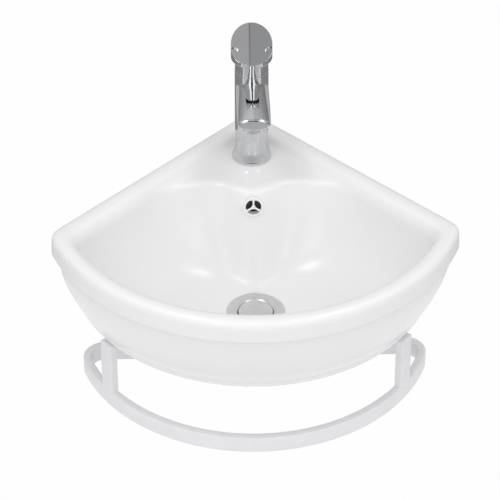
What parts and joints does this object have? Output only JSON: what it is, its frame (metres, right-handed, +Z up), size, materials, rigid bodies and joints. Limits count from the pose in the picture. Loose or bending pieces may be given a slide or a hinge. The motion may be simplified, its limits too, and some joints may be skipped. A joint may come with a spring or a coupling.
{
  "type": "corner basin",
  "caption": "Wall-hung ceramic corner basin with a single-lever tap, press-to-open waste, overflow and a looped towel rail below.",
  "frame": {"origin": "where the two room walls meet, level with the top of the basin's rim", "axes": "+X to the right as the user faces the basin, +Y back into the room's corner, +Z up"},
  "size_m": [0.4478, 0.387, 0.37],
  "materials": {
    "glaze": "gloss",
    "white_plastic": "gloss",
    "grey_plastic": "satin",
    "chrome": "polished",
    "brass": "machined",
    "steel": "satin",
    "black_rubber": "matte",
    "disc_ceramic": "polished",
    "white_paint": "satin gloss"
  },
  "bodies": {
    "basin_unit": {"basin": "glaze", "overflow_ring": "white_plastic", "tap_body": "chrome", "tap_base_gasket": "black_rubber", "tap_neck_cover": "chrome", "cartridge_shell": "grey_plastic", "cartridge_seals": "black_rubber", "fixed_disc": "disc_ceramic", "cartridge_nut": "brass", "aerator_housing": "chrome", "aerator_insert": "white_plastic", "aerator_washer": "black_rubber", "tap_stud": "steel", "tap_rubber_washer": "black_rubber", "tap_clamp_plate": "steel", "tap_nut": "brass", "waste_body": "chrome", "waste_flange_seal": "black_rubber", "click_barrel": "grey_plastic", "click_spring": "steel", "waste_cone_gasket": "black_rubber", "waste_slip_washer": "white_plastic", "waste_backnut": "brass", "towel_rail": "white_paint", "rail_post_left": "white_paint", "rail_post_right": "white_paint", "rail_pads": "black_rubber", "rail_washers": "steel", "rail_anchors": "brass", "rail_screws": "steel"},
    "tap_swivel": {"stem_carrier": "grey_plastic", "stem_pin": "steel"},
    "tap_lever": {"cartridge_stem": "brass", "tap_handle": "chrome", "handle_grub_screw": "steel", "handle_screw_cap": "white_plastic"},
    "mixing_disc": {"moving_disc": "disc_ceramic"},
    "plug": {"waste_plug": "chrome", "plug_seal": "black_rubber", "plug_stem": "brass"}
  },
  "joints": [
    {"name": "handle_swivel", "type": "hinge", "parent": "basin_unit", "child": "tap_swivel", "pos_m": [0, -0.077, 0.106], "axis": [0, 0, 1], "range_deg": [-45, 45]},
    {"name": "handle_lift", "type": "hinge", "parent": "tap_swivel", "child": "tap_lever", "pos_m": [0, -0.077, 0.106], "axis": [-1, 0, 0], "range_deg": [0, 24]},
    {"name": "disc_slide", "type": "slide", "parent": "tap_swivel", "child": "mixing_disc", "axis": [0, -1, 0], "range_m": [0, 0.0052]},
    {"name": "plug_travel", "type": "slide", "parent": "basin_unit", "child": "plug", "axis": [0, 0, 1], "range_m": [0, 0.007], "deforming": ["click_spring"]}
  ],
  "couplings": [
    {"joint": "disc_slide", "follows": "handle_lift", "m_per_rad": 0.0121}
  ]
}
